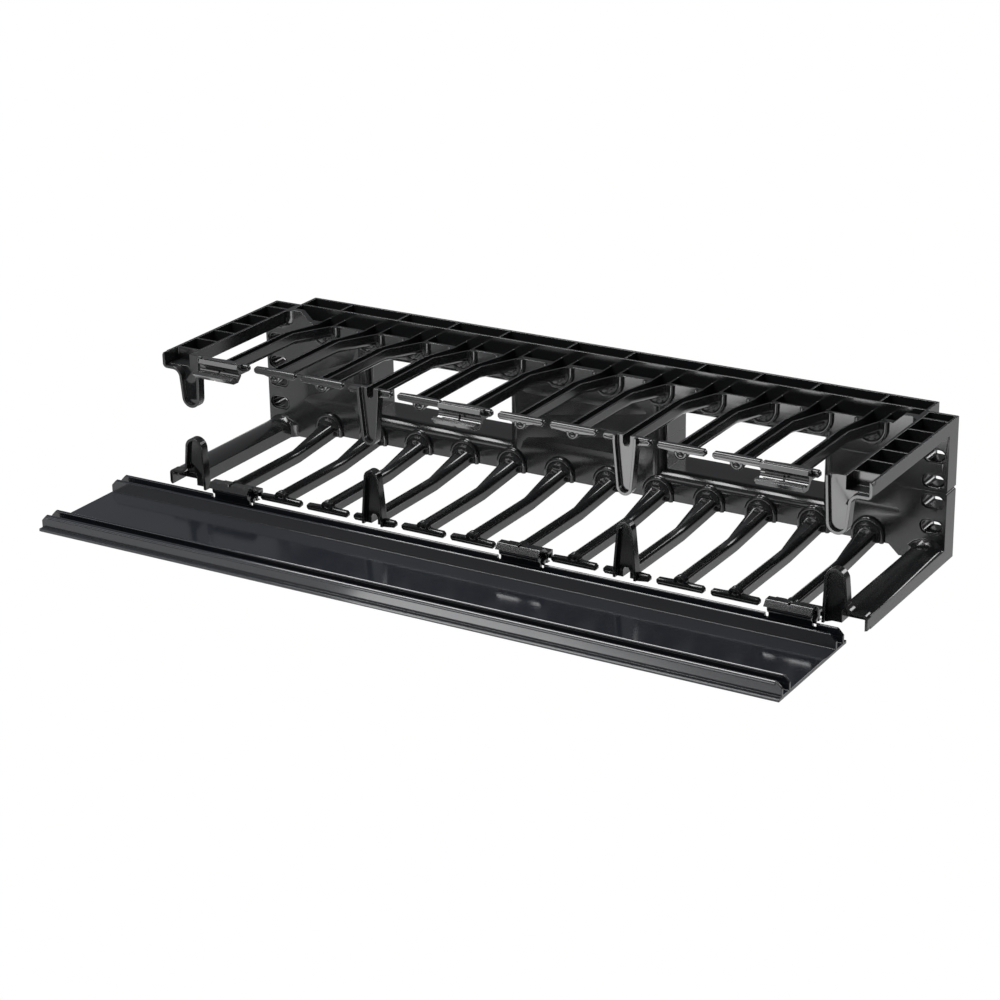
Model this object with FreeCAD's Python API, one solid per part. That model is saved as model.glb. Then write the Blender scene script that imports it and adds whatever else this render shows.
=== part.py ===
import FreeCAD, Part
import math
import os

os.makedirs("parts", exist_ok=True)
V = FreeCAD.Vector
ACROSS = V(1, 0, 0)
INWARD = V(0, 1, 0)

# Horizontal cable manager, two rack units high, in millimetres.
# The pieces are drawn with the front face of the panel at y = 0, fingers towards -y and
# the rear box towards +y, then moved forward so that the backs of the ears, which seat on
# the rack rails, lie on y = 0. The seam between the two mouldings is the plane z = 0.

# Overall size
WIDTH = 482.6
HALF_W = WIDTH / 2.0
UNIT_H = 44.05
PANEL_D = 13.7
BOX_D = 17.4
BOX_BACK = PANEL_D + BOX_D
WALL = 1.8
RIB_WALL = 1.4
OVER = 1.0

# Ears and panel outline
EAR_W = 19.3
EAR_IN = HALF_W - EAR_W
PANEL_DROP = 6.05
PANEL_TOP = UNIT_H - PANEL_DROP
CHAMFER_GAP = 9.5
CHAMFER_OUT = EAR_IN - CHAMFER_GAP
CHAMFER_RUN = 6.5
CHAMFER_IN = CHAMFER_OUT - CHAMFER_RUN
FRONT_WALL = 2.2
MID_WALL = 1.6
SEAM_NOTCH = 1.2
SEAM_FLOOR = 4.0

# Sunk fields in the closed parts of the panel
RECESS_D = 2.5
RECESS_H = 17.0
RECESS_SLOPE = 2.0
RECESS_MARGIN = 4.0

# Slots in the ears, on the hole pitch of a rack
SLOT_EDGE = 8.75
SLOT_X = HALF_W - SLOT_EDGE
HOLE_FIRST = 6.35
HOLE_PITCH = 15.875
SLOT_ROWS = (HOLE_FIRST, HOLE_FIRST + HOLE_PITCH)
SLOT_H = 7.0
SLOT_L = 12.6
SLOT_RIM = 1.1
SLOT_RIM_D = 0.8
EAR_SKIN = 5.275
EAR_CELL_FLOOR = SLOT_ROWS[-1] + SLOT_H / 2.0 + EAR_SKIN

# Fingers
COUNT = 14
END_OFFSET = 13.28
PITCH = (HALF_W - END_OFFSET) / (COUNT / 2.0 - 0.5)
FINGER_L = 107.3
FINGER_W = 7.0
FINGER_SIDE = 4.6
FINGER_WALL = 1.25
KINK = 40.0
ROOT_W = 13.0
COLLAR = 4.0
COLLAR_SINK = 1.0
COLLAR_BED = 2.0
GUTTER_FLOOR = 2.3
GUTTER_D = 1.8
CELL_D = 7.5
CELL_FLOOR = PANEL_TOP - CELL_D
ARC_Z = UNIT_H - FINGER_SIDE
SLOPE_L = math.hypot(KINK, PANEL_DROP)
SLOPE = V(0, KINK / SLOPE_L, -PANEL_DROP / SLOPE_L)

# Windows through the panel
WIN_L = 105.9
WIN_OFFSET = 3.1
WIN_MID = 3.0 * PITCH + WIN_OFFSET
WIN_IN = WIN_MID - WIN_L / 2.0
WIN_OUT = WIN_MID + WIN_L / 2.0
WIN_H = 39.0
WIN_ROLL = 7.0

# T-bars at the finger tips
BAR_FRONT = -FINGER_L
BAR_T = 3.6
BAR_BACK = BAR_FRONT + BAR_T
BAR_H = 4.3
BAR_UNDER = UNIT_H - BAR_H
BAR_GAP = 4.08
BAR_HALF = (PITCH - BAR_GAP) / 2.0
BAR_CORNER = 1.3
GROOVE_W = 0.9
GROOVE_D = 0.4
NUB_R = 4.2

# Long tongues on fingers 5 and 10
TAB_FINGER = 10
TAB_STEP = 2.2
TAB_FRONT = BAR_FRONT - TAB_STEP
TAB_W = 15.2
TAB_NECK_W = 10.2
TAB_SPACE = 16.4
TAB_RIM = 1.7
TAB_SINK = 2.9

# End fingers
END_H = 10.0
END_BULGE = 1.8
NOSE_Y = -106.0
END_TAB_STEP = 4.6
END_TAB_T = 6.0
END_TAB_SHIFT = 8.7
END_TAB_W = 15.5
END_TAB_SPACE = 20.6
END_TAB_SINK = 2.4
END_TAB_TAPER = 1.1
END_TAB_BLEND = 4.8
END_CORNER = 3.0
END_TOP_CORNER = 2.0
END_RIB_FIRST = 20.0
END_RIB_PITCH = 18.9
END_RIB_COUNT = 5
END_CELL_D = 8.05
SCOOP_R = 18.35
SCOOP_LEAD = 0.5
SCOOP_ROUND = 2.4

# Rear box
BOX_RIB_MID = 20.6
BOX_RIB_SIDE = 38.2
BOX_RIB_END = 31.0
BOX_SKIN = 1.8

# Clips
CLIP_ROOM = 5.58
CLIP_L = PITCH - CLIP_ROOM
CLIP_SHIFT = -3.6
CLIP_T = 1.7
HOOK_STEP = 7.0
HOOK_Y = BAR_FRONT - HOOK_STEP
HOOK_DROP = 4.65
HOOK_Z = UNIT_H - HOOK_DROP
HOOK_R = 3.2
HOOK_WALL = 2.4
HOOK_START_DEG = 200.0
HOOK_SWEEP_DEG = 229.0
HOOK_FACET_COUNT = 5
HOOK_TIP = (HOOK_R + HOOK_WALL) / math.cos(math.radians(HOOK_SWEEP_DEG / HOOK_FACET_COUNT / 2.0))
CLIP_LIP = 0.5
CLIP_LIP_REACH = 1.8
CLIP_TOE = 1.2
CLIP_TOE_RISE = 0.8
CLIP_GAP = 0.3
CLIP_SPLIT = 1.4
CLIP_FINGERS = (2, 7, 13)
CLIP_NAMES = ("left", "middle", "right")

# Cover
COVER_OVER = 24.4
COVER_L = WIDTH + COVER_OVER
COVER_SLIDE = -24.6
COVER_T = 2.0
COVER_RIB_H = 8.5
COVER_RIB_T = 2.0
COVER_EDGE = 3.2
COVER_INNER = 9.4
COVER_CUT = 4.0
COVER_SEAT = 0.5
RIB_DROP = 3.7
HOOK_FIT = 0.1
BEAD_R = HOOK_R - HOOK_FIT
BEAD_CLEAR = 1.25
BEAD_L = CLIP_L - 2.0 * BEAD_CLEAR
NECK_T = 1.8
NOTCH_CLEAR = 1.25
NOTCH_L = CLIP_L + 2.0 * NOTCH_CLEAR
NOTCH_UNDER = 0.4
NOTCH_DROP = HOOK_TIP + NOTCH_UNDER


def box(x0, x1, y0, y1, z0, z1):
    return Part.makeBox(x1 - x0, y1 - y0, z1 - z0, V(x0, y0, z0))


def outline_face(points, place):
    """Face inside a closed outline; a point of four numbers is an arc by way of its first two."""
    first = place(*points[0])
    last = first
    edges = []
    for p in points[1:]:
        end = place(p[-2], p[-1])
        if len(p) == 4:
            edges.append(Part.Arc(last, place(p[0], p[1]), end).toShape())
        else:
            edges.append(Part.makeLine(last, end))
        last = end
    if not last.isEqual(first, 1e-7):
        edges.append(Part.makeLine(last, first))
    return Part.Face(Part.Wire(edges))


def prism_x(points, x0, x1):
    """Extrude an outline of the y-z plane from x0 to x1."""
    return outline_face(points, lambda y, z: V(x0, y, z)).extrude(V(x1 - x0, 0, 0))


def prism_y(points, y0, y1):
    """Extrude an outline of the x-z plane from y0 to y1."""
    return outline_face(points, lambda x, z: V(x, y0, z)).extrude(V(0, y1 - y0, 0))


def prism_z(points, z0, z1):
    """Extrude an outline of the x-y plane from z0 to z1."""
    return outline_face(points, lambda x, y: V(x, y, z0)).extrude(V(0, 0, z1 - z0))


def wedge(a, b, half_a, half_b, side):
    """Straight-sided block on the line from a to b, as wide as twice the halves at its ends."""
    corners = [a - ACROSS * half_a, a + ACROSS * half_a, b + ACROSS * half_b, b - ACROSS * half_b]
    rise = ACROSS.cross(b - a)
    rise.normalize()
    return Part.Face(Part.makePolygon(corners + corners[:1])).extrude(rise * side)


def trough(a, b, half_a, half_b, side):
    """Block like the wedge with a half-round underside, a half cylinder or a half cone."""
    corners = [a, a + ACROSS * half_a, b + ACROSS * half_b, b]
    underside = Part.Face(Part.makePolygon(corners + corners[:1])).revolve(a, b - a, 180)
    return wedge(a, b, half_a, half_b, side).fuse(underside)


def gutter(a, b, half, side):
    """Cutter on the line from a to b, straight-sided above it and bevelled to a floor below it."""
    rise = ACROSS.cross(b - a)
    rise.normalize()
    left = a - ACROSS * half
    right = a + ACROSS * half
    floor = a - rise * GUTTER_D
    section = [left + rise * side, left, floor - ACROSS * (GUTTER_FLOOR / 2.0)]
    section += [floor + ACROSS * (GUTTER_FLOOR / 2.0), right, right + rise * side]
    return Part.Face(Part.makePolygon(section + section[:1])).extrude(b - a)


def corner(radius):
    """How far the middle of a quarter-round corner lies inside the square corner."""
    return radius * (1.0 - math.sqrt(0.5))


def finger_x(i):
    return PITCH * (i - (COUNT + 1) / 2.0)


def finger_line(cx):
    """Middle of a finger's arc at the kink, where its slope starts, and at the panel."""
    kink = V(cx, -KINK, ARC_Z)
    start = kink - SLOPE * (FINGER_SIDE * PANEL_DROP / SLOPE_L)
    root = V(cx, 0, PANEL_TOP - FINGER_SIDE)
    return kink, start, root


def finger_flare(start, end):
    """Sloping part of a finger, wider towards the panel, its lower edges fully rounded."""
    half = FINGER_W / 2.0
    spread = ROOT_W / 2.0 - half
    run = end - start
    radius = half * run.Length / math.hypot(run.Length, spread)
    pieces = []
    for side in (-1.0, 1.0):
        line = run + ACROSS * (side * spread)
        pieces.append(Part.makeCylinder(radius, line.Length, start, line))
    corners = [start, end - ACROSS * spread, end + ACROSS * spread]
    down = run.cross(ACROSS)
    down.normalize()
    pieces.append(Part.Face(Part.makePolygon(corners + corners[:1])).extrude(down * radius))
    return wedge(start, end, half, ROOT_W / 2.0, FINGER_SIDE * KINK / SLOPE_L).fuse(pieces)


def finger_outer(cx):
    """Outside of a middle finger: straight arm, flared slope and the collar at the panel."""
    half = FINGER_W / 2.0
    kink, start, root = finger_line(cx)
    tip = V(cx, BAR_FRONT + BAR_T / 2.0, ARC_Z)
    arm = trough(tip, kink, half, half, FINGER_SIDE)
    flare = finger_flare(start, root + SLOPE * COLLAR_BED)
    wide = ROOT_W / 2.0 + COLLAR
    ring = trough(root - INWARD * COLLAR, root, ROOT_W / 2.0 - COLLAR_SINK, wide, FINGER_SIDE)
    bed = trough(root, root + INWARD * COLLAR_BED, wide, wide, FINGER_SIDE)
    return arm.fuse([flare, ring, bed])


def finger_channel(cx, front):
    """Open channel of a middle finger, from its tip through the front wall of the panel."""
    half = FINGER_W / 2.0 - FINGER_WALL
    kink, start, root = finger_line(cx)
    arm = gutter(V(cx, front, ARC_Z), kink, half, FINGER_SIDE + OVER)
    side = FINGER_SIDE * KINK / SLOPE_L + OVER
    end = root + SLOPE * (FRONT_WALL + OVER)
    slope = gutter(start, end, half, side)
    flare = wedge(start, end, half, ROOT_W / 2.0 - FINGER_WALL, side)
    return arm.fuse([slope, flare])


def tip_bar(cx):
    """T-bar with cut corners and a half-round nub below, grooved along its front."""
    left = cx - BAR_HALF
    right = cx + BAR_HALF
    k = BAR_CORNER
    outline = [(left + k, UNIT_H), (left, UNIT_H - k), (left, BAR_UNDER + k), (left + k, BAR_UNDER)]
    outline += [(cx - NUB_R, BAR_UNDER), (cx, BAR_UNDER - NUB_R, cx + NUB_R, BAR_UNDER)]
    outline += [(right - k, BAR_UNDER), (right, BAR_UNDER + k), (right, UNIT_H - k), (right - k, UNIT_H)]
    bar = prism_y(outline, BAR_FRONT, BAR_BACK)
    mid = (BAR_UNDER + UNIT_H) / 2.0
    groove = box(left + k, right - k, BAR_FRONT - OVER, BAR_FRONT + GROOVE_D,
                 mid - GROOVE_W / 2.0, mid + GROOVE_W / 2.0)
    return bar.cut(groove)


def tab_outline(cx, inset, top):
    """Tapered tongue with a full-round end, narrowed all round by the inset."""
    wide = TAB_W / 2.0 - inset
    neck = TAB_NECK_W / 2.0 - inset
    end = TAB_SPACE / 2.0 + inset
    return [(cx - wide, top), (cx - wide, BAR_UNDER), (cx - neck, end + neck),
            (cx, end, cx + neck, end + neck), (cx + wide, BAR_UNDER), (cx + wide, top)]


def end_tab_outline(inset, top):
    """Left side and rounded end of the tongue on an end finger, up to its right edge."""
    left = EAR_IN - END_TAB_SHIFT + inset
    right = EAR_IN - END_TAB_SHIFT + END_TAB_W - inset
    end = END_TAB_SPACE / 2.0 + inset
    mid = (left + right) / 2.0
    r = (right - left) / 2.0 - END_TAB_TAPER
    return [(left, top), (mid - r, end + r), (mid, end, mid + r, end + r)], right


def end_section(grow):
    """Section of an end finger, larger by grow on its inner side and below."""
    inner = EAR_IN - grow
    edge = UNIT_H - END_H + END_BULGE
    mid = (inner + HALF_W) / 2.0
    return [(inner, UNIT_H), (inner, edge), (mid, UNIT_H - END_H - grow, HALF_W, edge), (HALF_W, UNIT_H)]


def end_mouth(inset, top):
    """Outline of the open front of an end finger: tongue, hollow corner and lip, inset all round."""
    outline, right = end_tab_outline(inset, top)
    under = UNIT_H - END_H + inset
    low = UNIT_H - END_H - END_TAB_BLEND
    k = corner(END_TAB_BLEND + inset)
    outline += [(right, low), (right + k, under - k, right + END_TAB_BLEND + inset, under)]
    return outline, under


def end_finger():
    """Right-hand end finger: broad trough, collar, open front with its lip, and hanging tongue."""
    shape = prism_y(end_section(0.0), NOSE_Y, COLLAR_BED)
    tip_ring = outline_face(end_section(0.0), lambda x, z: V(x, -COLLAR, z)).OuterWire
    root_ring = outline_face(end_section(COLLAR), lambda x, z: V(x, 0, z)).OuterWire
    collar = Part.makeLoft([tip_ring, root_ring], True, True)
    front = NOSE_Y - END_TAB_STEP
    outline, under = end_mouth(0.0, UNIT_H)
    k = corner(END_CORNER)
    outline += [(HALF_W - END_CORNER, under), (HALF_W - k, under + k, HALF_W, under + END_CORNER)]
    k = corner(END_TOP_CORNER)
    outline += [(HALF_W, UNIT_H - END_TOP_CORNER), (HALF_W - k, UNIT_H - k, HALF_W - END_TOP_CORNER, UNIT_H)]
    shape = shape.fuse([collar, prism_y(end_section(COLLAR), 0, COLLAR_BED)])
    shape = shape.fuse(prism_y(outline, front, front + END_TAB_T))
    outer = HALF_W - WALL
    outline, sill = end_mouth(TAB_RIM, UNIT_H + OVER)
    outline += [(outer, sill), (outer, UNIT_H + OVER)]
    web = front + END_TAB_SINK
    cuts = [prism_y(outline, front - OVER, web)]
    floor = UNIT_H - END_CELL_D
    inner = EAR_IN + WALL
    marks = [OVER] + [-END_RIB_FIRST - END_RIB_PITCH * k for k in range(END_RIB_COUNT)]
    for near, far in zip(marks[:-1], marks[1:]):
        near_face = near - RIB_WALL / 2.0
        cuts.append(box(inner, outer, far + RIB_WALL / 2.0, near_face, floor, UNIT_H + OVER))
    middle = V(outline[0][0] + SCOOP_LEAD + SCOOP_R, web, UNIT_H)
    narrow = SCOOP_R - SCOOP_ROUND
    brim = Part.makeCone(SCOOP_R, narrow, SCOOP_ROUND, middle, INWARD)
    cuts.append(brim.common(prism_y(outline, web, web + SCOOP_ROUND)))
    keep = box(inner, outer, web, marks[-1] - RIB_WALL / 2.0, floor, UNIT_H + OVER)
    cuts.append(Part.makeCylinder(narrow, HALF_W, middle, INWARD).common(keep))
    return shape.cut(cuts)


def slot(z, grow, depth):
    """Oval cutter on a rack hole, its length along x, wider all round by grow."""
    r = SLOT_H / 2.0 + grow
    run = (SLOT_L - SLOT_H) / 2.0
    left = SLOT_X - run
    right = SLOT_X + run
    outline = [(left, z - r), (right, z - r), (right + r, z, right, z + r), (left, z + r)]
    return prism_y(outline + [(left - r, z, left, z - r)], -OVER, depth)


def window():
    """Opening above the seam whose front edges are rolled, mitred at its corners."""
    k = corner(WIN_ROLL)
    back = BOX_BACK + OVER
    top = WIN_H / 2.0
    plan = [(WIN_IN - WIN_ROLL, -OVER), (WIN_IN - WIN_ROLL, 0), (WIN_IN - k, k, WIN_IN, WIN_ROLL)]
    plan += [(WIN_IN, back), (WIN_OUT, back), (WIN_OUT, WIN_ROLL)]
    plan += [(WIN_OUT + k, k, WIN_OUT + WIN_ROLL, 0), (WIN_OUT + WIN_ROLL, -OVER)]
    rise = [(-OVER, -OVER), (-OVER, top + WIN_ROLL), (0, top + WIN_ROLL), (k, top + k, WIN_ROLL, top)]
    rise += [(back, top), (back, -OVER)]
    across = prism_x(rise, WIN_IN - WIN_ROLL - OVER, WIN_OUT + WIN_ROLL + OVER)
    return prism_z(plan, -OVER, UNIT_H).common(across)


def recess(x0, x1):
    """Shallow field sunk into the front of the panel, its border sloped."""
    plan = [(x0, -OVER), (x0, 0), (x0 + RECESS_SLOPE, RECESS_D)]
    plan += [(x1 - RECESS_SLOPE, RECESS_D), (x1, 0), (x1, -OVER)]
    rise = [(-OVER, -OVER), (-OVER, RECESS_H), (0, RECESS_H)]
    rise += [(RECESS_D, RECESS_H - RECESS_SLOPE), (RECESS_D, -OVER)]
    return prism_z(plan, -OVER, UNIT_H).common(prism_x(rise, x0 - OVER, x1 + OVER))


def backbone():
    """Right half of the panel, the ear and the rear box, with the window."""
    outline = [(0, 0), (HALF_W - SEAM_NOTCH, 0), (HALF_W, SEAM_NOTCH), (HALF_W, UNIT_H)]
    outline += [(CHAMFER_OUT, UNIT_H), (CHAMFER_IN, PANEL_TOP), (0, PANEL_TOP)]
    shape = prism_y(outline, 0.0, PANEL_D)
    shape = shape.fuse(box(0, EAR_IN, PANEL_D, BOX_BACK, 0, UNIT_H))
    return shape.cut(window())


def backbone_cuts(fingers):
    """Pockets, root cells, ear cell, slots and sunk fields of the right half."""
    top = UNIT_H + OVER
    cuts = []
    win_in = WIN_IN - WIN_ROLL - OVER
    win_out = WIN_OUT + WIN_ROLL + OVER
    half = ROOT_W / 2.0
    for x in fingers:
        inner = half - FINGER_WALL
        cuts.append(box(x - inner, x + inner, FRONT_WALL, PANEL_D, CELL_FLOOR, top))
    starts = [-OVER] + [x + half for x in fingers]
    ends = [x - half for x in fingers] + [EAR_IN - WALL]
    for a, b in zip(starts, ends):
        over_window = b > win_in and a < win_out
        floor = CELL_FLOOR if over_window else SEAM_FLOOR
        front = FRONT_WALL if over_window else FRONT_WALL + RECESS_D
        cuts.append(box(a, b, front, PANEL_D, floor, top))
    marks = [-BOX_RIB_MID, BOX_RIB_MID, WIN_MID - BOX_RIB_SIDE, WIN_MID, WIN_MID + BOX_RIB_SIDE]
    marks += [EAR_IN - BOX_RIB_END, EAR_IN - WALL + RIB_WALL / 2.0]
    for left, right in zip(marks[:-1], marks[1:]):
        a = left + RIB_WALL / 2.0
        b = right - RIB_WALL / 2.0
        floor = WIN_H / 2.0 + BOX_SKIN if right > win_in and left < win_out else SEAM_FLOOR
        cuts.append(box(a, b, PANEL_D + MID_WALL, BOX_BACK - BOX_SKIN, floor, top))
    cuts.append(box(EAR_IN + WALL, HALF_W - WALL, WALL, PANEL_D - WALL, EAR_CELL_FLOOR, top))
    for z in SLOT_ROWS:
        cuts.append(slot(z, 0.0, PANEL_D + OVER))
        cuts.append(slot(z, SLOT_RIM, SLOT_RIM_D))
    inner = WIN_IN - WIN_ROLL - RECESS_MARGIN
    cuts.append(recess(-inner, inner))
    cuts.append(recess(WIN_OUT + WIN_ROLL + RECESS_MARGIN, CHAMFER_OUT))
    return cuts


def moulding():
    """One moulding, one unit high, its open side up and its seam face on z = 0."""
    fingers = range(COUNT // 2 + 1, COUNT)
    adds = [end_finger()]
    cuts = backbone_cuts([finger_x(i) for i in fingers])
    for i in fingers:
        cx = finger_x(i)
        adds.append(finger_outer(cx))
        adds.append(tip_bar(cx))
        front = BAR_BACK
        if i == TAB_FINGER:
            front = TAB_FRONT + TAB_SINK - OVER
            adds.append(prism_y(tab_outline(cx, 0.0, UNIT_H), TAB_FRONT, BAR_BACK))
            cuts.append(prism_y(tab_outline(cx, TAB_RIM, UNIT_H + OVER), TAB_FRONT - OVER, TAB_FRONT + TAB_SINK))
        cuts.append(finger_channel(cx, front))
    half = backbone().fuse(adds).cut(cuts)
    reach = FINGER_L + HALF_W
    half = half.common(box(0, HALF_W, -reach, reach, 0, UNIT_H))
    other = half.mirror(V(0, 0, 0), ACROSS)
    return half.fuse(other).removeSplitter()


def ring_point(radius, share):
    """Point of the hook at a share of its sweep, from the front lip under the bore to the back."""
    turn = math.radians(HOOK_START_DEG + share * HOOK_SWEEP_DEG)
    return (HOOK_Y + radius * math.cos(turn), HOOK_Z + radius * math.sin(turn))


def clip(cx):
    """Upper clip: a saddle round the T-bar and a hook in front that opens up and forward."""
    x0 = cx + CLIP_SHIFT - CLIP_L / 2.0
    x1 = x0 + CLIP_L
    hook = [ring_point(HOOK_R, 0.0)]
    hook += [ring_point(HOOK_TIP, k / HOOK_FACET_COUNT) for k in range(HOOK_FACET_COUNT + 1)]
    hook += [ring_point(HOOK_R, 1.0), ring_point(HOOK_R, 0.5) + ring_point(HOOK_R, 0.0)]
    under = BAR_UNDER - CLIP_T
    front = BAR_FRONT - CLIP_T
    back = BAR_BACK + CLIP_T
    lip = BAR_FRONT + CLIP_LIP_REACH
    toe = UNIT_H - CLIP_TOE
    saddle = [(front, under), (back, under), (back, toe), (BAR_BACK, toe + CLIP_TOE_RISE)]
    saddle += [(BAR_BACK, BAR_UNDER), (BAR_FRONT, BAR_UNDER), (BAR_FRONT, UNIT_H), (lip, UNIT_H)]
    saddle += [(lip, UNIT_H + CLIP_LIP), (front, UNIT_H + CLIP_LIP)]
    shape = prism_x(hook, x0, x1).fuse(prism_x(saddle, x0, x1))
    nub = NUB_R + CLIP_GAP
    stem = FINGER_W / 2.0 + CLIP_GAP
    low = HOOK_Z - HOOK_TIP - OVER
    high = UNIT_H + OVER
    behind = back + OVER
    mid = cx + CLIP_SHIFT
    half = CLIP_SPLIT / 2.0
    cuts = [box(cx - nub, cx + nub, BAR_FRONT, behind, low, BAR_UNDER)]
    cuts.append(box(cx - stem, cx + stem, BAR_BACK, behind, low, high))
    cuts.append(box(mid - half, mid + half, BAR_BACK, behind, low, high))
    cuts.append(box(mid - half, mid + half, HOOK_Y - HOOK_R, behind, low, BAR_UNDER))
    return shape.cut(cuts)


def turned(shape):
    """Half turn about the y axis, which makes the lower piece from the upper one."""
    other = shape.copy()
    other.rotate(V(0, 0, 0), INWARD, 180)
    return other


def cover():
    """Cover hanging open from the lower clips: flat plate, four long ribs and hinge beads."""
    x0 = COVER_SLIDE - COVER_L / 2.0
    x1 = COVER_SLIDE + COVER_L / 2.0
    rib_top = -HOOK_Z - RIB_DROP
    plate_top = rib_top - COVER_RIB_H
    half = COVER_RIB_T / 2.0
    far_y = HOOK_Y - 2.0 * HOOK_Z
    back = HOOK_Y + half + COVER_EDGE
    front = far_y - half - COVER_EDGE
    shape = box(x0, x1, front, back, plate_top - COVER_T, plate_top)
    seat = plate_top - COVER_SEAT
    ribs = []
    for y in (HOOK_Y, HOOK_Y - COVER_INNER, far_y + COVER_INNER, far_y):
        section = [(y - half, seat), (y - half, rib_top - half), (y, rib_top, y + half, rib_top - half)]
        rib = prism_x(section + [(y + half, seat)], x0, x1)
        ends = [(x0, seat), (x0, rib_top - COVER_CUT), (x0 + COVER_CUT, rib_top)]
        ends += [(x1 - COVER_CUT, rib_top), (x1, rib_top - COVER_CUT), (x1, seat)]
        ribs.append(rib.common(prism_y(ends, y - COVER_RIB_T, y + COVER_RIB_T)))
    shape = shape.fuse(ribs)
    cuts = []
    beads = []
    floor = -HOOK_Z - NOTCH_DROP
    for i in CLIP_FINGERS:
        cx = -finger_x(i) - CLIP_SHIFT
        cuts.append(box(cx - NOTCH_L / 2.0, cx + NOTCH_L / 2.0, HOOK_Y - COVER_RIB_T, HOOK_Y + COVER_RIB_T,
                        floor, rib_top + OVER))
        a = cx - BEAD_L / 2.0
        beads.append(Part.makeCylinder(BEAD_R, BEAD_L, V(a, HOOK_Y, -HOOK_Z), ACROSS))
        beads.append(box(a, a + BEAD_L, HOOK_Y - NECK_T / 2.0, HOOK_Y + NECK_T / 2.0, floor - COVER_SEAT, -HOOK_Z))
    return shape.cut(cuts).fuse(beads).removeSplitter()


def save(shape, node):
    """Move a piece into the frame of the rack rails and write it."""
    placed = shape.copy()
    placed.translate(V(0, -PANEL_D, 0))
    placed.exportStep("parts/" + node + ".step")


upper = moulding()
save(upper, "moulding_upper")
save(turned(upper), "moulding_lower")
for name, other_name, i in zip(CLIP_NAMES, reversed(CLIP_NAMES), CLIP_FINGERS):
    piece = clip(finger_x(i))
    save(piece, "clip_upper_" + name)
    save(turned(piece), "clip_lower_" + other_name)
save(cover(), "cover")
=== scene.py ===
import math

import bmesh
import bpy
from mathutils import Matrix, Vector


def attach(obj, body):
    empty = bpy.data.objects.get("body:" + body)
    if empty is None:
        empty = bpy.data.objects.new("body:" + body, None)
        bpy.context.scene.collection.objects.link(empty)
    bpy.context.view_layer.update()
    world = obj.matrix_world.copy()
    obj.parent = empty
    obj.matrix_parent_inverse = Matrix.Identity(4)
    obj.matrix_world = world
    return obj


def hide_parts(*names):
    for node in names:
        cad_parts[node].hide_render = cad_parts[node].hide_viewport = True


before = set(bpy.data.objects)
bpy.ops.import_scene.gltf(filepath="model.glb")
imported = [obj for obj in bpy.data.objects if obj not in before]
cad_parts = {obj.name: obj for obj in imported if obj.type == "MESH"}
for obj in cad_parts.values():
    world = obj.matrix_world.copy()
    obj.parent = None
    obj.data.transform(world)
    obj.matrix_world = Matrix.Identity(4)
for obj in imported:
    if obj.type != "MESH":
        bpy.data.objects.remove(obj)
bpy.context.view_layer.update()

MM = 0.001


# ---------------------------------------------------------------- sizes, in millimetres unless said

# Middle fingers, numbered from the left. 1 and 14 are the broad end fingers, and a finger
# numbered 7.5 would stand in the middle of the rack.
PITCH = 35.08
MIDDLE_NUMBER = 7.5
MIDDLE_FINGERS = range(2, 14)
TONGUE_FINGERS = (5, 10)
CLIP_FINGERS = (2, 7, 13)
PLAIN_FINGERS = [n for n in MIDDLE_FINGERS if n not in TONGUE_FINGERS + CLIP_FINGERS]

# Beads where the middle fingers join the panel. A bead's middle stands before the panel by
# a share of its radius.
PANEL_FACE = -13.7
PANEL_EDGE = 38.0
ROOT_RADIUS = 9.1
ROOT_BEAD = 1.5
ROOT_PROUD = 0.75
RING_Z = 33.4
BEAD_SIDES = 10

# T-bars across the fingers' tips, the groove along each one, and how near to them an edge
# has to lie, and how long it has to be, to count as theirs.
BAR_FRONT = -121.0
BAR_BACK = -117.4
BAR_OUTER = 44.05
BAR_INNER = 39.75
BAR_MIDDLE = 41.9
GROOVE_ROOM = 0.6
NEAR = 0.05
SHORTEST = 0.5

# Nubs under the plain T-bars. Both forms are pressed to a share of their depth.
NUB_RIM_RADIUS = 3.1
NUB_RIM_BEAD = 1.1
NUB_RIM_RISE = 0.3
NUB_RIM_PRESSED = 0.5
NUB_BALL_RADIUS = 3.0
NUB_BALL_Y = -119.4
NUB_BALL_Z = 38.2
NUB_BALL_PRESSED = 0.8

# Tips on the outer walls of the end fingers.
NOSE_OUT = 241.22
NOSE_THICK = 1.8
NOSE_FRONT = -124.3
NOSE_DEEP = 6.0
NOSE_TOP = 44.0
NOSE_HIGH = 7.0

# Slots in the ears: their lips, and the zone that the general rounding leaves alone. A lip's
# middle lies behind the panel's face by a share of its radius, and what lies within the
# reach, a share of the slot's rounding, belongs to that slot.
SLOT_X = 232.55
SLOT_ROWS = (6.35, 22.225)
SLOT_ROUND = 4.6
SLOT_RUN = 2.8
SLOT_STEPS = 40
LIP = 0.35
LIP_SUNK = 0.3
SLOT_REACH = 1.2
SLOT_ZONE_X = (224.0, 240.6)
SLOT_ZONE_Z = 28.0
SLOT_ZONE_Y = -14.0

# Ribs at the front of the cover: how far forward each is, and the radius of its bead.
RIB_BEADS = ((-206.8, 1.35), (-197.4, 1.15))
RIB_HALF = 1.0
RIB_Z = -44.1
RIB_LENGTH = 499.0
COVER_MIDDLE = -24.6

# Points of the CAD's triangles that lie closer than this are one.
MERGE = 0.002

# Rounding of edges: width and number of steps.
BAR_ROUND = (0.9, 3)
NOSE_ROUND = (0.75, 4)
EDGE_STEPS = 2

# An edge is rounded where it is this many widths long and its faces this many widths deep.
ROOM_ALONG = 3.0
ROOM_ACROSS = 2.4

# Angles in degrees: below FLAT two faces are one, past SQUARE an edge of a T-bar is rounded,
# and past TRIM_CRISP an edge of the trim is shaded sharp.
FLAT = 1.0
SQUARE = 60.0
TRIM_CRISP = 40.0


# ---------------------------------------------------------------- materials

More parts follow.
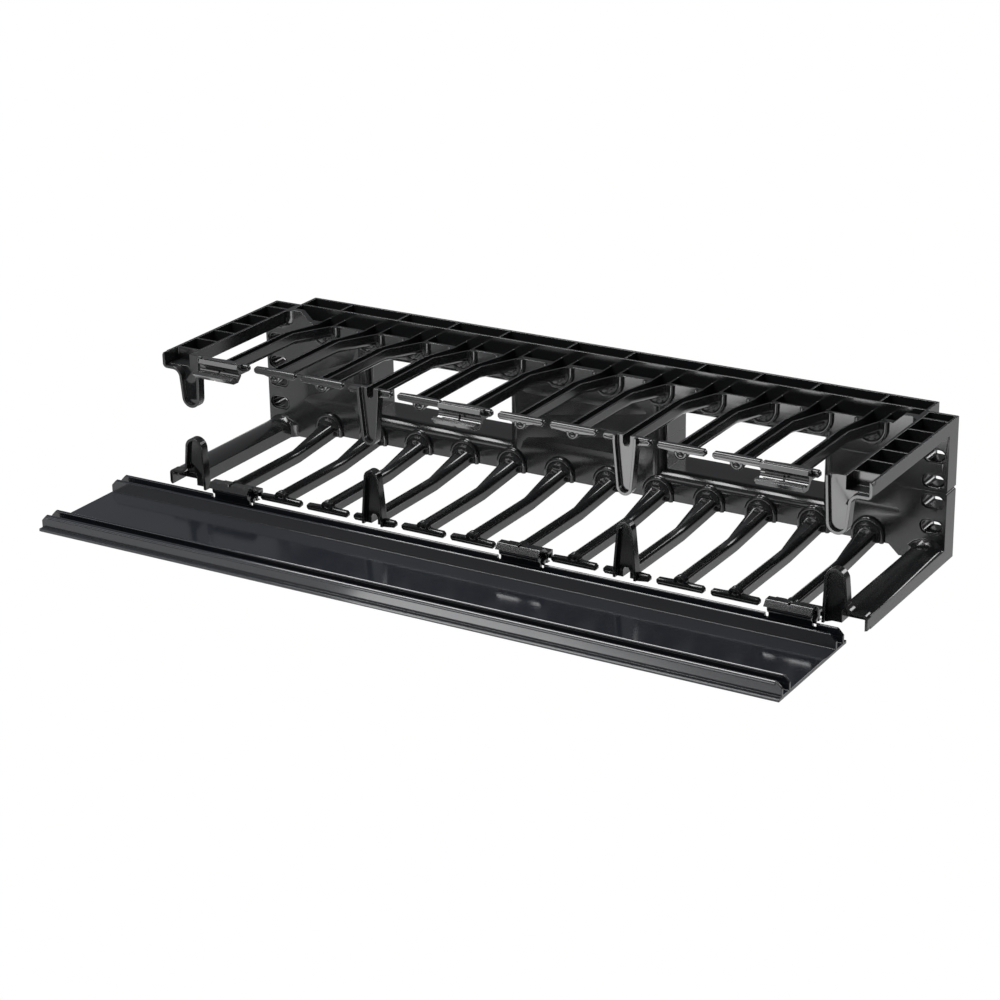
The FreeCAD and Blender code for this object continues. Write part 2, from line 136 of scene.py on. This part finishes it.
class Value:
    """One output socket of a node tree, with the arithmetic that the materials use."""

    def __init__(self, nodes, socket):
        self.nodes = nodes
        self.socket = socket

    def _with(self, operation, first, second):
        return self.nodes.node("ShaderNodeMath", {0: first, 1: second}, operation=operation)

    def __add__(self, other):
        return self._with("ADD", self, other)

    def __radd__(self, other):
        return self._with("ADD", other, self)

    def __sub__(self, other):
        return self._with("SUBTRACT", self, other)

    def __rmul__(self, other):
        return self._with("MULTIPLY", other, self)


class Nodes:
    """The node tree of a material or a world, emptied and then built one node at a time."""

    def __init__(self, holder):
        holder.use_nodes = True
        self.tree = holder.node_tree
        self.tree.nodes.clear()

    def node(self, kind, inputs=None, output=0, **settings):
        made = self.tree.nodes.new(kind)
        for key, setting in settings.items():
            setattr(made, key, setting)
        for key, given in (inputs or {}).items():
            if isinstance(given, Value):
                self.tree.links.new(given.socket, made.inputs[key])
            else:
                made.inputs[key].default_value = given
        return Value(self, made.outputs[output]) if len(made.outputs) else None


# Flow marks vary the tone from its least share of the colour upwards and ripple the surface,
# and handling varies the roughness.
FLOW_SCALE = 22.0
FLOW_HEIGHT = 0.2 * MM
TONE_LEAST = 0.9
TONE_SWING = 0.2
HANDLED_SCALE = 70.0
HANDLED_SWING = 0.05


def moulded_plastic(name, colour, rough, ripple, index=1.55):
    """Glossy black plastic with faint flow marks and slightly uneven gloss."""
    material = bpy.data.materials.new(name)
    s = Nodes(material)
    place = s.node("ShaderNodeTexCoord", output="Object")
    flow = s.node("ShaderNodeTexNoise",
                  {"Vector": place, "Scale": FLOW_SCALE, "Detail": 2.0}, "Fac")
    handled = s.node("ShaderNodeTexNoise",
                     {"Vector": place, "Scale": HANDLED_SCALE, "Detail": 4.0}, "Fac")
    tone = TONE_LEAST + TONE_SWING * flow
    base = s.node("ShaderNodeVectorMath", {0: colour, "Scale": tone}, operation="SCALE")
    roughness = rough + HANDLED_SWING * (handled - 0.5)
    bump = s.node("ShaderNodeBump", {"Height": flow, "Strength": ripple, "Distance": FLOW_HEIGHT})
    bsdf = s.node("ShaderNodeBsdfPrincipled", {"Base Color": base, "Roughness": roughness,
                                               "IOR": index, "Normal": bump})
    s.node("ShaderNodeOutputMaterial", {"Surface": bsdf})
    return material


BODY = moulded_plastic("moulded black plastic", (0.011, 0.0115, 0.012), rough=0.17, ripple=0.3)
CLIP = moulded_plastic("clip plastic", (0.016, 0.0165, 0.017), rough=0.14, ripple=0.2, index=1.8)
COVER = moulded_plastic("cover plastic", (0.012, 0.0135, 0.017), rough=0.11, ripple=0.2)


# ---------------------------------------------------------------- making a piece

def finished(name, bm, material, crisp, body):
    """A piece of one material, smooth but for the edges past the crisp angle."""
    mesh = bpy.data.meshes.new(name)
    bm.to_mesh(mesh)
    bm.free()
    mesh.shade_smooth()
    mesh.set_sharp_from_angle(angle=math.radians(crisp))
    mesh.materials.append(material)
    piece = bpy.data.objects.new(name, mesh)
    bpy.context.scene.collection.objects.link(piece)
    facing = piece.modifiers.new("even faces", "WEIGHTED_NORMAL")
    facing.keep_sharp = True
    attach(piece, body)
    return piece


def bevelled(bm, edges, width, steps):
    bmesh.ops.bevel(bm, geom=edges, offset=width * MM, offset_type="OFFSET", segments=steps,
                    profile=0.5, affect="EDGES", clamp_overlap=False, material=-1)


# ---------------------------------------------------------------- the CAD's nodes, edges rounded

def creases(bm, least):
    """Edges at which the surface turns by more than the given angle."""
    return [e for e in bm.edges
            if len(e.link_faces) == 2 and e.calc_face_angle(0.0) > math.radians(least)]


def on_bar(edge):
    """True for the long edges of a T-bar, apart from those of its groove."""
    first, second = (vert.co / MM for vert in edge.verts)
    for end in (first, second):
        beside = min(abs(end.y - BAR_FRONT), abs(end.y - BAR_BACK))
        if beside > NEAR or not BAR_INNER - NEAR < abs(end.z) < BAR_OUTER + NEAR:
            return False
    in_groove = max(abs(abs(end.z) - BAR_MIDDLE) for end in (first, second)) < GROOVE_ROOM
    lengthwise = abs(first.y - second.y) < NEAR and edge.calc_length() > SHORTEST * MM
    return lengthwise and not in_groove


def at_slot(edge):
    """True for the edges round the slots in the ears."""
    inner, outer = SLOT_ZONE_X
    return all(inner * MM < abs(v.co.x) < outer * MM and abs(v.co.z) < SLOT_ZONE_Z * MM
               and v.co.y > SLOT_ZONE_Y * MM for v in edge.verts)


def roomy(edge, width):
    """True where the faces beside an edge are wide enough to be bevelled from both sides."""
    length = edge.calc_length()
    smallest = min(face.calc_area() for face in edge.link_faces)
    return length > ROOM_ALONG * width and smallest > ROOM_ACROSS * width * length


def softened(node, material, width, body, least, crisp):
    """A copy of a CAD node to stand for it, its edges past the least angle rounded."""
    bm = bmesh.new()
    bm.from_mesh(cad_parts[node].data)
    bmesh.ops.remove_doubles(bm, verts=bm.verts, dist=MERGE * MM)
    bmesh.ops.dissolve_limit(bm, angle_limit=math.radians(FLAT), use_dissolve_boundaries=False,
                             verts=bm.verts, edges=bm.edges)
    if node.startswith("moulding"):
        bevelled(bm, [e for e in creases(bm, SQUARE) if on_bar(e)], *BAR_ROUND)
    sharp = [e for e in creases(bm, least) if roomy(e, width * MM) and not at_slot(e)]
    bevelled(bm, sharp, width, EDGE_STEPS)
    piece = finished(node + "_shown", bm, material, crisp, body)
    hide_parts(node)


# ---------------------------------------------------------------- trim beside the CAD's nodes

def placed(name, material, bm, body="frame"):
    """A piece of trim, with its faces turned outwards."""
    bmesh.ops.recalc_face_normals(bm, faces=bm.faces)
    finished(name, bm, material, TRIM_CRISP, body)


def both_ways(build):
    """The same trim on the upper moulding and, turned half round, on the lower one."""
    placed(build.__name__ + "_upper", BODY, build())
    bm = build()
    bmesh.ops.rotate(bm, verts=bm.verts, cent=(0, 0, 0), matrix=Matrix.Rotation(math.pi, 3, "Y"))
    placed(build.__name__ + "_lower", BODY, bm)


def along(numbers):
    """Middle of each of the given fingers along x."""
    return [(number - MIDDLE_NUMBER) * PITCH for number in numbers]


def half_ring(bm, middle, radius, bead, rise, steps):
    """Half of a round bead below its middle, its two legs carried up by rise."""
    turn = Matrix.Translation(middle + Vector((radius * MM, 0, 0)))
    section = bmesh.ops.create_circle(bm, segments=BEAD_SIDES, radius=bead * MM,
                                      matrix=turn)["verts"]
    start = list({e for v in section for e in v.link_edges})
    swept = bmesh.ops.spin(bm, geom=section + start, cent=middle, axis=(0, 1, 0), angle=math.pi,
                           steps=steps, use_merge=False)["geom_last"]
    last = [e for e in swept if isinstance(e, bmesh.types.BMEdge)]
    for ring in (start, last):
        grown = bmesh.ops.extrude_edge_only(bm, edges=ring)["geom"]
        tops = [v for v in grown if isinstance(v, bmesh.types.BMVert)]
        rims = [e for e in grown if isinstance(e, bmesh.types.BMEdge)]
        bmesh.ops.translate(bm, verts=tops, vec=(0, 0, rise * MM))
        bmesh.ops.contextual_create(bm, geom=rims)


def root_beads():
    """Round bead at the root of every middle finger, where it joins the panel."""
    bm = bmesh.new()
    for x in along(MIDDLE_FINGERS):
        middle = Vector((x, PANEL_FACE - ROOT_BEAD * ROOT_PROUD, RING_Z)) * MM
        half_ring(bm, middle, ROOT_RADIUS, ROOT_BEAD, PANEL_EDGE - RING_Z, steps=18)
    return bm


def nub_rims():
    """Raised rim round the half-round nub under every plain T-bar that carries no clip."""
    bm = bmesh.new()
    for x in along(PLAIN_FINGERS):
        middle = Vector((x, BAR_FRONT, BAR_INNER)) * MM
        half_ring(bm, middle, NUB_RIM_RADIUS, NUB_RIM_BEAD, NUB_RIM_RISE, steps=14)
    front = Vector((0.0, BAR_FRONT * MM, 0.0))
    pressed = Matrix.Diagonal((1.0, NUB_RIM_PRESSED, 1.0, 1.0))
    in_place = Matrix.Translation(front) @ pressed @ Matrix.Translation(-front)
    bmesh.ops.transform(bm, verts=bm.verts, matrix=in_place)
    return bm


def nub_balls():
    """Rounded middle of the nub under every plain T-bar that carries no clip."""
    bm = bmesh.new()
    pressed = Matrix.Diagonal((1.0, NUB_BALL_PRESSED, 1.0, 1.0))
    for x in along(PLAIN_FINGERS):
        middle = Matrix.Translation(Vector((x, NUB_BALL_Y, NUB_BALL_Z)) * MM)
        bmesh.ops.create_uvsphere(bm, u_segments=20, v_segments=12, radius=NUB_BALL_RADIUS * MM,
                                  matrix=middle @ pressed)
    return bm


def nose_tips():
    """Rounded tip on the outer wall of each end finger."""
    bm = bmesh.new()
    size = Matrix.Diagonal((NOSE_THICK * MM, NOSE_DEEP * MM, NOSE_HIGH * MM, 1.0))
    for side in (-1.0, 1.0):
        middle = Vector((side * (NOSE_OUT - NOSE_THICK / 2.0), NOSE_FRONT + NOSE_DEEP / 2.0,
                         NOSE_TOP - NOSE_HIGH / 2.0))
        bmesh.ops.create_cube(bm, size=1.0, matrix=Matrix.Translation(middle * MM) @ size)
    bevelled(bm, list(bm.edges), *NOSE_ROUND)
    return bm


def slot_rims():
    """Fine raised lip round the mouth of every slot in the ears."""
    bm = bmesh.new()
    half_step = Matrix.Rotation(math.pi / SLOT_STEPS, 4, "Y")
    outwards = Matrix.Translation((SLOT_ROUND * MM, 0, 0))
    for side in (-1.0, 1.0):
        for height in SLOT_ROWS:
            middle = Vector((side * SLOT_X, PANEL_FACE + LIP * LIP_SUNK, height)) * MM
            start = Matrix.Translation(middle) @ half_step @ outwards
            section = bmesh.ops.create_circle(bm, segments=8, radius=LIP * MM,
                                              matrix=start)["verts"]
            edges = list({e for v in section for e in v.link_edges})
            bmesh.ops.spin(bm, geom=section + edges, cent=middle, axis=(0, 1, 0),
                           angle=math.tau, steps=SLOT_STEPS, use_merge=True)
            for way in (-1.0, 1.0):
                half = [v for v in bm.verts if not v.tag and (v.co.x - middle.x) * way > 0
                        and (v.co - middle).length < SLOT_REACH * SLOT_ROUND * MM]
                bmesh.ops.translate(bm, verts=half, vec=(way * SLOT_RUN * MM, 0, 0))
                for vert in half:
                    vert.tag = True
    return bm


def rib_beads():
    """Rounded bead along the top of the two ribs at the front of the cover."""
    bm = bmesh.new()
    for y, radius in RIB_BEADS:
        shift = RIB_HALF - radius
        middle = Vector((COVER_MIDDLE, y + shift, RIB_Z + shift)) * MM
        turn = Matrix.Translation(middle) @ Matrix.Rotation(math.pi / 2.0, 4, "Y")
        bmesh.ops.create_cone(bm, segments=24, radius1=radius * MM, radius2=radius * MM,
                              depth=RIB_LENGTH * MM, cap_ends=True, cap_tris=False, matrix=turn)
    return bm


for build in (root_beads, nub_rims, nub_balls, nose_tips, slot_rims):
    both_ways(build)
placed("rib_beads", COVER, rib_beads(), "cover")

for node in list(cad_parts):
    if node.startswith("moulding"):
        softened(node, BODY, 0.25, "frame", least=52.0, crisp=52.0)
    elif node.startswith("clip"):
        softened(node, CLIP, 0.2, "frame", least=32.0, crisp=38.0)
    else:
        softened(node, COVER, 0.3, "cover", least=32.0, crisp=38.0)


# ---------------------------------------------------------------- floor, light and camera

# In metres, but for the sensor, which is in millimetres, and the camera's angles in radians.
FLOOR_Z = -0.30
FLOOR_SIZE = 6.0
FLOOR_PALE = (0.92, 0.92, 0.92, 1.0)
FLOOR_MIRRORED = 0.25
WHITE = (1, 1, 1, 1)
ROOM_GREY = (0.16, 0.16, 0.165, 1)

# Width and height in metres, power in watts, where it hangs, what it faces.
LAMPS = {
    "overhead softbox": (0.8, 1.2, 34.0, (-0.58, -0.15, 1.25), (-0.58, -0.15, 0)),
    "softbox behind on the right": (0.5, 0.5, 5.0, (0.75, 1.45, 0.85), (0, -0.06, 0)),
    "wide front left": (1.1, 0.6, 4.5, (-0.95, -1.55, 0.72), (0, -0.06, 0)),
    "low front left": (0.42, 0.15, 1.0, (-0.04, -0.56, -0.14), (0.08, -0.10, 0.0)),
}

CAMERA_AT = (0.77746, -1.39530, 0.57397)
CAMERA_YAW = 0.5461
CAMERA_PITCH = 0.3739
CAMERA_ROLL = -0.0182
FOCAL_IN_PIXELS = 2702.93
PHOTO_WIDTH = 1000.0
SENSOR = 36.0


def lamp(name, width, height, power, at, towards):
    """A flat lamp that the camera doesn't see."""
    data = bpy.data.lights.new(name, "AREA")
    data.shape = "RECTANGLE"
    data.size = width
    data.size_y = height
    data.energy = power
    holder = bpy.data.objects.new(name, data)
    holder.location = at
    holder.rotation_mode = "QUATERNION"
    holder.rotation_quaternion = (Vector(towards) - Vector(at)).to_track_quat("-Z", "Y")
    holder.visible_camera = False
    bpy.context.scene.collection.objects.link(holder)


def floor():
    """Pale floor, full white to the camera and dimmer in reflections."""
    bm = bmesh.new()
    bmesh.ops.create_grid(bm, x_segments=1, y_segments=1, size=FLOOR_SIZE)
    bmesh.ops.translate(bm, verts=bm.verts, vec=(0, 0, FLOOR_Z))
    mesh = bpy.data.meshes.new("floor")
    bm.to_mesh(mesh)
    bm.free()
    material = bpy.data.materials.new("pale floor")
    s = Nodes(material)
    seen = s.node("ShaderNodeLightPath", output="Is Camera Ray")
    mirrored = s.node("ShaderNodeLightPath", output="Is Glossy Ray")
    matt = s.node("ShaderNodeBsdfDiffuse", {"Color": FLOOR_PALE})
    white = s.node("ShaderNodeEmission", {"Color": WHITE, "Strength": 1.0})
    mixed = s.node("ShaderNodeMixShader", {0: seen + FLOOR_MIRRORED * mirrored, 1: matt, 2: white})
    s.node("ShaderNodeOutputMaterial", {"Surface": mixed})
    mesh.materials.append(material)
    plane = bpy.data.objects.new("floor", mesh)
    bpy.context.scene.collection.objects.link(plane)


def surroundings():
    """Room round the object: white to the camera, dark grey to everything else."""
    world = bpy.data.worlds.new("studio")
    s = Nodes(world)
    seen = s.node("ShaderNodeLightPath", output="Is Camera Ray")
    grey = s.node("ShaderNodeBackground", {"Color": ROOM_GREY})
    white = s.node("ShaderNodeBackground", {"Color": WHITE})
    mixed = s.node("ShaderNodeMixShader", {0: seen, 1: grey, 2: white})
    s.node("ShaderNodeOutputWorld", {"Surface": mixed})
    bpy.context.scene.world = world


def camera():
    """The photograph's viewpoint, worked out from the object's known sizes."""
    across, over = math.cos(CAMERA_YAW), math.sin(CAMERA_YAW)
    drop = Vector((0, 0, math.sin(CAMERA_PITCH)))
    ahead = Vector((-over, across, 0)) * math.cos(CAMERA_PITCH) - drop
    level = Vector((across, over, 0))
    above = level.cross(ahead)
    right = level * math.cos(CAMERA_ROLL) + above * math.sin(CAMERA_ROLL)
    up = above * math.cos(CAMERA_ROLL) - level * math.sin(CAMERA_ROLL)
    data = bpy.data.cameras.new("camera")
    data.sensor_width = SENSOR
    data.lens = FOCAL_IN_PIXELS / PHOTO_WIDTH * SENSOR
    holder = bpy.data.objects.new("camera", data)
    turn = Matrix((right, up, -ahead)).transposed().to_4x4()
    holder.matrix_world = Matrix.Translation(CAMERA_AT) @ turn
    bpy.context.scene.collection.objects.link(holder)
    bpy.context.scene.camera = holder


floor()
surroundings()
for name, facts in LAMPS.items():
    lamp(name, *facts)
camera()

view = bpy.context.scene.view_settings
view.view_transform = "Standard"
